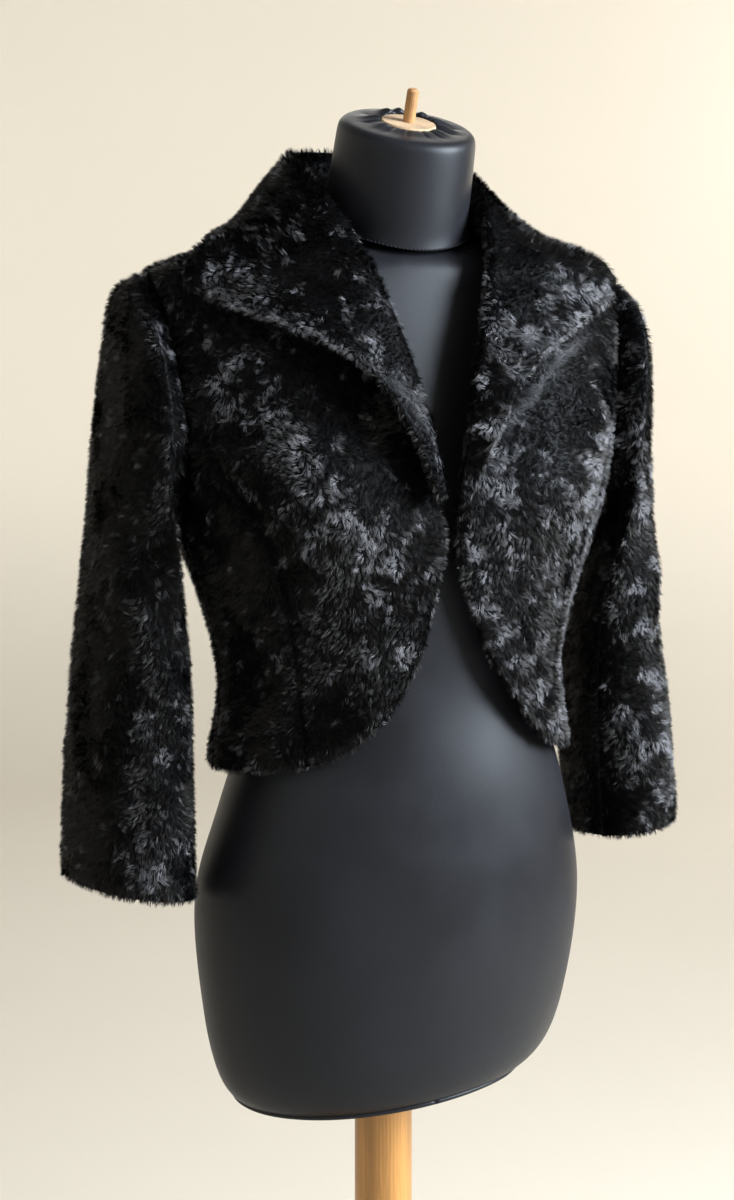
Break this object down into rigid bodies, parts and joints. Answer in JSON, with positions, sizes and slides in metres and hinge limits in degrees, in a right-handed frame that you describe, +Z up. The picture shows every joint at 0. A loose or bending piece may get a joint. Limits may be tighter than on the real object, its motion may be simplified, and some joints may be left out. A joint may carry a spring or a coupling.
{
  "type": "cropped blazer on a dress form",
  "caption": "Cropped open blazer of crushed plush with a wide pointed collar and flared sleeves, worn by a limbless dress form on a wooden pole stand.",
  "frame": {"origin": "on the floor under the axis of the pole, in the middle of the base's underside", "axes": "+Z up along the pole, -Y towards the front of the jacket, -X towards the wearer's right"},
  "size_m": [0.5256, 0.36, 1.2669],
  "materials": {
    "plush": "crushed fur-like pile with a cool sheen",
    "form_cloth": "smooth stretch cloth, soft sheen",
    "pole_wood": "honey-coloured satin varnish",
    "disc_wood": "bare pale wood"
  },
  "bodies": {
    "root": {"front_right": "plush", "front_left": "plush", "side_front_right": "plush", "side_front_left": "plush", "back_right": "plush", "back_left": "plush", "sleeve_top_right": "plush", "sleeve_top_left": "plush", "sleeve_under_right": "plush", "sleeve_under_left": "plush", "collar_right": "plush", "collar_left": "plush", "form_torso": "form_cloth", "form_neck": "form_cloth", "neck_disc": "disc_wood", "neck_peg": "disc_wood", "pole": "pole_wood", "stand_base": "pole_wood"}
  },
  "joints": []
}
